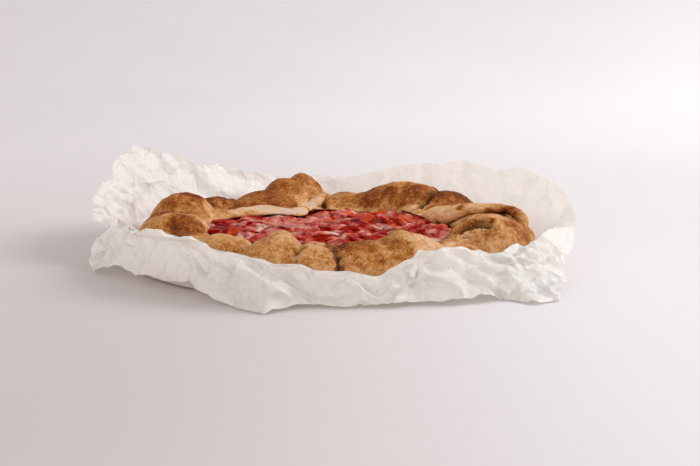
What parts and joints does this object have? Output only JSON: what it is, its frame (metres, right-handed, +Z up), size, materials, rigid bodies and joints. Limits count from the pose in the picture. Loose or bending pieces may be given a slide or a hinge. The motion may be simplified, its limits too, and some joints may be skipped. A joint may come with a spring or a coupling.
{
  "type": "fruit galette",
  "caption": "Round free-form pie of folded wholemeal dough, open over a heap of baked red fruit, on its crumpled sheet of baking parchment.",
  "frame": {"origin": "centre of the flat underside of the parchment, under the middle of the galette, on the surface it rests on", "axes": "+Z up; +X to the right along the longer side of the parchment; +Y to the back, away from the side where the parchment folds forward"},
  "size_m": [0.3089, 0.2915, 0.0625],
  "materials": {
    "dough": "baked wholemeal dough: dry, matt, mottled from tan to dark brown, pale where flour or raw dough shows",
    "fruit": "soft baked fruit in glossy syrup, from pale pink to deep red with orange patches",
    "paper": "white baking parchment, slightly see-through, crumpled into small facets with sharp creases"
  },
  "bodies": {
    "root": {"crust": "dough", "filling": "fruit", "parchment": "paper"}
  },
  "joints": []
}
